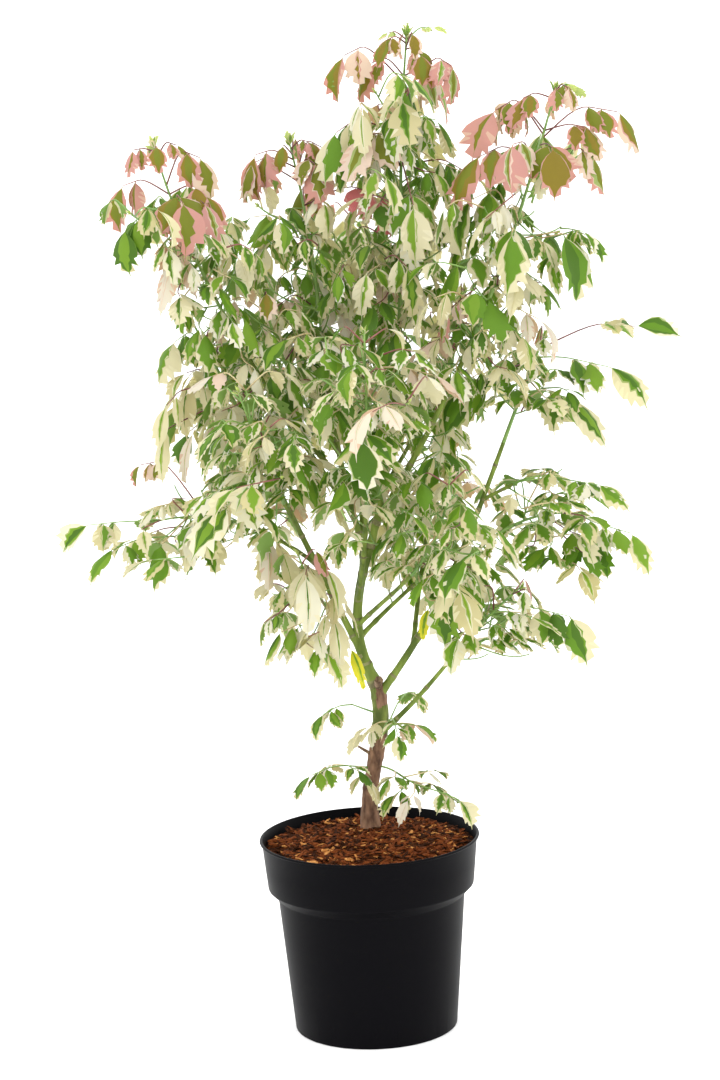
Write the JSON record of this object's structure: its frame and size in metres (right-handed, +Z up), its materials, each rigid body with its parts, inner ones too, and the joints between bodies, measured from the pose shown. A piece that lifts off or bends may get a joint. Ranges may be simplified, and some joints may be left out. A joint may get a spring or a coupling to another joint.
{
  "type": "potted flamingo box elder",
  "caption": "Young multi-stemmed box elder with pink, cream and green variegated leaves, in a round black nursery pot mulched with bark.",
  "frame": {"origin": "centre of the pot's flat underside", "axes": "+Z up along the pot's axis, -Y towards the viewer of the picture, +X to the viewer's right"},
  "size_m": [0.6747, 0.5924, 1.0779],
  "materials": {
    "pot": "satin near-black moulded plastic",
    "mulch": "rough shredded reddish-brown bark",
    "brown_bark": "dull brown young bark",
    "green_bark": "smooth green young bark",
    "foliage": "soft matt leaves, green with cream and pink"
  },
  "bodies": {
    "root": {"pot": "pot", "soil": "mulch", "trunk": "brown_bark", "pruned_stub": "brown_bark", "dead_twig": "brown_bark", "bough_main": "green_bark", "bough_centre": "green_bark", "bough_right_high": "green_bark", "bough_left_centre": "green_bark", "bough_left_high": "green_bark", "bough_right": "green_bark", "bough_right_low": "green_bark", "bough_right_inner": "green_bark", "bough_right_reach": "green_bark", "bough_right_side": "green_bark", "bough_left": "green_bark", "bough_low_left": "green_bark", "bough_low_front": "green_bark", "bough_front": "green_bark", "bough_front_left": "green_bark", "bough_front_right": "green_bark", "bough_back": "green_bark", "bough_back_left": "green_bark", "bough_back_right": "green_bark", "bough_inner_right": "green_bark", "bough_inner_left": "green_bark", "foliage_centre": "foliage", "foliage_right_high": "foliage", "foliage_left_centre": "foliage", "foliage_left_high": "foliage", "foliage_right": "foliage", "foliage_right_low": "foliage", "foliage_right_inner": "foliage", "foliage_right_reach": "foliage", "foliage_right_side": "foliage", "foliage_left": "foliage", "foliage_low_left": "foliage", "foliage_low_front": "foliage", "foliage_front": "foliage", "foliage_front_left": "foliage", "foliage_front_right": "foliage", "foliage_back": "foliage", "foliage_back_left": "foliage", "foliage_back_right": "foliage", "foliage_inner_right": "foliage", "foliage_inner_left": "foliage", "trunk_leaf_left": "foliage", "trunk_leaf_low_left": "foliage", "trunk_leaf_right": "foliage", "trunk_leaf_back": "foliage", "trunk_leaf_front": "foliage"}
  },
  "joints": []
}
